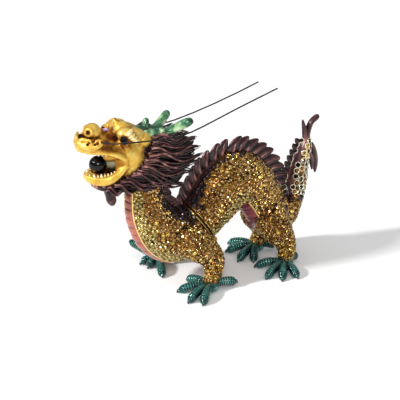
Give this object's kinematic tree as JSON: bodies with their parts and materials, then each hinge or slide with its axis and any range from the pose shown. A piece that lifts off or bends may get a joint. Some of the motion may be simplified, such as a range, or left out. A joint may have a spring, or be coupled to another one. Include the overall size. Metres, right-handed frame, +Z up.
{
  "type": "trinket box",
  "caption": "Hinged trinket box cast as a walking Chinese dragon with a humped hollow body that opens at a slanting seam, crystal scales, whiskers and a black pearl in its jaws.",
  "frame": {"origin": "middle of the dragon's outline on the floor, at the height of its soles", "axes": "+Z up, the dragon faces -X, its left side is -Y"},
  "size_m": [0.1168, 0.064, 0.0793],
  "materials": {
    "amber_crystal_scales": "enamelled and gilt pewter set with amber crystals",
    "hinge_steel": "plain drawn pin",
    "black_glass": "polished black glass or resin",
    "black_wire": "black lacquered wire"
  },
  "bodies": {
    "front": {"front_casting": "amber_crystal_scales", "hinge_pin": "hinge_steel", "pearl": "black_glass", "eye_left": "black_glass", "eye_right": "black_glass", "whisker_left": "black_wire", "whisker_right": "black_wire"},
    "rear": {"rear_casting": "amber_crystal_scales"}
  },
  "joints": [
    {"name": "box_hinge", "type": "hinge", "parent": "front", "child": "rear", "pos_m": [0.00357, -0.00085, 0.01562], "axis": [0, 1, 0], "range_deg": [0, 40]}
  ]
}
